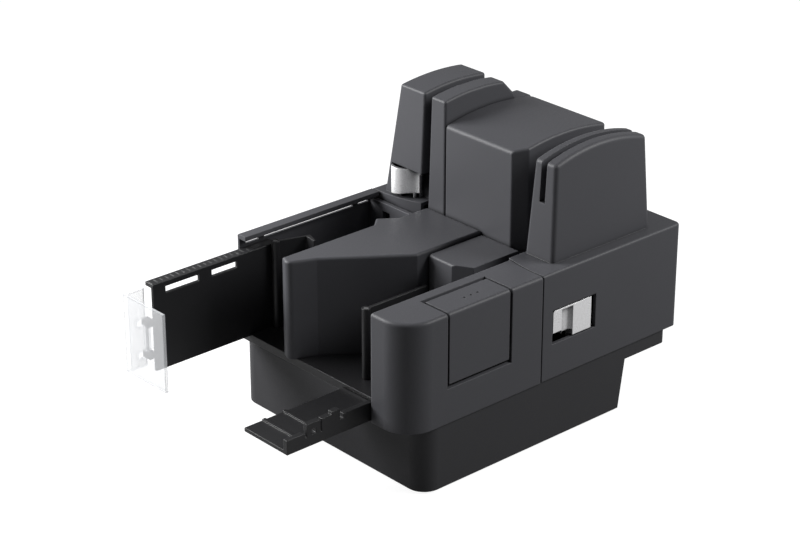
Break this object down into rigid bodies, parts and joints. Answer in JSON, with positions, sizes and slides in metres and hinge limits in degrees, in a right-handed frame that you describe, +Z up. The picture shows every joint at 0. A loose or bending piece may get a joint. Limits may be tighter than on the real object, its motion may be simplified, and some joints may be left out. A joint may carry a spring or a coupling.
{
  "type": "cheque scanner",
  "caption": "Desktop scanner for a stack of cheques standing on edge: U-shaped paper path, two hinged side covers with towers, feed block with flap, eject pocket with clear stopper.",
  "frame": {"origin": "on the desk, under the middle of the base", "axes": "+Z up, -Y toward the front where the two document trays are, +X toward the side with the feed block and the long sliding latch"},
  "size_m": [0.175, 0.3135, 0.1968],
  "materials": {
    "base_plastic": "fine matte texture",
    "housing_plastic": "fine matte texture",
    "inner_plastic": "matte",
    "steel": "satin",
    "roller_rubber": "matte",
    "latch_plastic": "satin silver",
    "clear_plastic": "clear moulded plastic",
    "sensor_glass": "polished",
    "bush_brass": "satin",
    "board": "solder mask"
  },
  "bodies": {
    "scanner": {"base_shell": "base_plastic", "bearing_plate": "inner_plastic", "centre_cover": "housing_plastic", "chassis_plate": "steel", "chassis_screws": "steel", "dc_inlet": "inner_plastic", "divider_housing": "housing_plastic", "feed_bearing_plate": "inner_plastic", "feed_belt": "roller_rubber", "feed_motor": "steel", "flap_pin": "steel", "front_block": "housing_plastic", "hinge_brackets": "steel", "inner_guide": "inner_plastic", "inner_image_sensor": "inner_plastic", "inner_sensor_glass": "sensor_glass", "magnetic_head": "steel", "main_board": "board", "pivot_pins": "steel", "pocket_wall": "housing_plastic", "rear_housing": "housing_plastic", "rib_cover": "housing_plastic", "rubber_feet": "roller_rubber", "separation_cover": "housing_plastic", "shaft_bushes": "bush_brass", "transport_belt": "roller_rubber", "transport_motor": "steel", "tray_floor": "inner_plastic", "usb_socket": "inner_plastic"},
    "right_cover": {"right_cover": "housing_plastic", "right_guide_plate": "inner_plastic", "outer_image_sensor": "inner_plastic", "outer_sensor_glass": "sensor_glass", "card_reader_head": "inner_plastic"},
    "left_cover": {"left_cover": "housing_plastic", "left_guide_plate": "inner_plastic", "ink_cartridge": "inner_plastic", "left_latch_pin": "steel"},
    "right_latch": {"right_latch": "latch_plastic"},
    "left_latch": {"left_latch": "latch_plastic"},
    "access_flap": {"access_flap": "housing_plastic"},
    "eject_extension": {"eject_extension": "inner_plastic", "stopper_pin": "steel"},
    "end_stopper": {"end_stopper": "clear_plastic"},
    "feed_extension": {"feed_extension": "inner_plastic"},
    "pocket_flap": {"pocket_flap": "inner_plastic"},
    "pressure_plate": {"pressure_plate": "inner_plastic"},
    "feed_roller": {"feed_roller": "roller_rubber"},
    "pickup_roller": {"pickup_roller": "roller_rubber"},
    "separation_roller": {"separation_roller": "roller_rubber"},
    "drive_roller_1": {"drive_roller_1": "roller_rubber"},
    "pinch_roller_1": {"pinch_roller_1": "roller_rubber"},
    "drive_roller_2": {"drive_roller_2": "roller_rubber"},
    "pinch_roller_2": {"pinch_roller_2": "roller_rubber"},
    "drive_roller_3": {"drive_roller_3": "roller_rubber"},
    "pinch_roller_3": {"pinch_roller_3": "roller_rubber"},
    "drive_roller_4": {"drive_roller_4": "roller_rubber"},
    "pinch_roller_4": {"pinch_roller_4": "roller_rubber"}
  },
  "joints": [
    {"name": "right_cover_hinge", "type": "hinge", "parent": "scanner", "child": "right_cover", "pos_m": [0.0815, 0.129, 0.0445], "axis": [0, 0, 1], "range_deg": [0, 60]},
    {"name": "left_cover_hinge", "type": "hinge", "parent": "scanner", "child": "left_cover", "pos_m": [-0.0815, 0.129, 0.0445], "axis": [0, 0, -1], "range_deg": [0, 60]},
    {"name": "right_latch_slide", "type": "slide", "parent": "right_cover", "child": "right_latch", "axis": [0, 1, 0], "range_m": [0, 0.003], "stiffness_N_per_m": 400, "springref_m": -0.001},
    {"name": "left_latch_pivot", "type": "hinge", "parent": "left_cover", "child": "left_latch", "pos_m": [-0.057, 0.0384, 0.13], "axis": [0, 0, -1], "range_deg": [0, 15], "stiffness_Nm_per_rad": 0.15, "springref_deg": -2.86},
    {"name": "access_flap_hinge", "type": "hinge", "parent": "scanner", "child": "access_flap", "pos_m": [0.084, -0.03975, 0.073], "axis": [0, 1, 0], "range_deg": [0, 80]},
    {"name": "eject_extension_slide", "type": "slide", "parent": "scanner", "child": "eject_extension", "axis": [0, 1, 0], "range_m": [0, 0.06]},
    {"name": "end_stopper_hinge", "type": "hinge", "parent": "eject_extension", "child": "end_stopper", "pos_m": [-0.0825, -0.1615, 0.071], "axis": [0, 0, 1], "range_deg": [0, 90]},
    {"name": "feed_extension_slide", "type": "slide", "parent": "scanner", "child": "feed_extension", "axis": [0, 1, 0], "range_m": [0, 0.045]},
    {"name": "pocket_flap_pivot", "type": "hinge", "parent": "scanner", "child": "pocket_flap", "pos_m": [-0.0744, -0.065, 0.08], "axis": [0, 0, 1], "range_deg": [0, 20], "stiffness_Nm_per_rad": 0.02},
    {"name": "pressure_plate_pivot", "type": "hinge", "parent": "scanner", "child": "pressure_plate", "pos_m": [0.0185, -0.07, 0.074], "axis": [0, 0, -1], "range_deg": [0, 25]},
    {"name": "feed_roller_spin", "type": "hinge", "parent": "scanner", "child": "feed_roller", "pos_m": [0.06095, -0.0015, 0.063], "axis": [0, 0, 1], "continuous": true},
    {"name": "pickup_roller_spin", "type": "hinge", "parent": "scanner", "child": "pickup_roller", "pos_m": [0.0623, -0.0385, 0.063], "axis": [0, 0, 1], "continuous": true},
    {"name": "separation_roller_spin", "type": "hinge", "parent": "scanner", "child": "separation_roller", "pos_m": [0.03865, -0.0015, 0.063], "axis": [0, 0, 1], "continuous": true},
    {"name": "drive_roller_1_spin", "type": "hinge", "parent": "scanner", "child": "drive_roller_1", "pos_m": [0.03865, 0.04, 0.08], "axis": [0, 0, 1], "continuous": true},
    {"name": "drive_roller_2_spin", "type": "hinge", "parent": "scanner", "child": "drive_roller_2", "pos_m": [0.03865, 0.084, 0.08], "axis": [0, 0, 1], "continuous": true},
    {"name": "drive_roller_3_spin", "type": "hinge", "parent": "scanner", "child": "drive_roller_3", "pos_m": [0.0035, 0.11285, 0.08], "axis": [0, 0, 1], "continuous": true},
    {"name": "drive_roller_4_spin", "type": "hinge", "parent": "scanner", "child": "drive_roller_4", "pos_m": [-0.03165, 0.06, 0.08], "axis": [0, 0, 1], "continuous": true},
    {"name": "pinch_roller_1_spin", "type": "hinge", "parent": "right_cover", "child": "pinch_roller_1", "pos_m": [0.05395, 0.04, 0.08], "axis": [0, 0, 1], "continuous": true},
    {"name": "pinch_roller_2_spin", "type": "hinge", "parent": "right_cover", "child": "pinch_roller_2", "pos_m": [0.05395, 0.084, 0.08], "axis": [0, 0, 1], "continuous": true},
    {"name": "pinch_roller_3_spin", "type": "hinge", "parent": "scanner", "child": "pinch_roller_3", "pos_m": [0.0035, 0.12815, 0.08], "axis": [0, 0, 1], "continuous": true},
    {"name": "pinch_roller_4_spin", "type": "hinge", "parent": "left_cover", "child": "pinch_roller_4", "pos_m": [-0.04695, 0.06, 0.08], "axis": [0, 0, 1], "continuous": true}
  ],
  "couplings": [
    {"joint": "drive_roller_2_spin", "follows": "drive_roller_1_spin", "ratio": 1},
    {"joint": "drive_roller_3_spin", "follows": "drive_roller_1_spin", "ratio": 1},
    {"joint": "drive_roller_4_spin", "follows": "drive_roller_1_spin", "ratio": 1},
    {"joint": "pinch_roller_1_spin", "follows": "drive_roller_1_spin", "ratio": -2},
    {"joint": "pinch_roller_2_spin", "follows": "drive_roller_1_spin", "ratio": -2},
    {"joint": "pinch_roller_3_spin", "follows": "drive_roller_1_spin", "ratio": -2},
    {"joint": "pinch_roller_4_spin", "follows": "drive_roller_1_spin", "ratio": -2},
    {"joint": "pickup_roller_spin", "follows": "feed_roller_spin", "ratio": 1},
    {"joint": "separation_roller_spin", "follows": "feed_roller_spin", "ratio": -1.2}
  ]
}
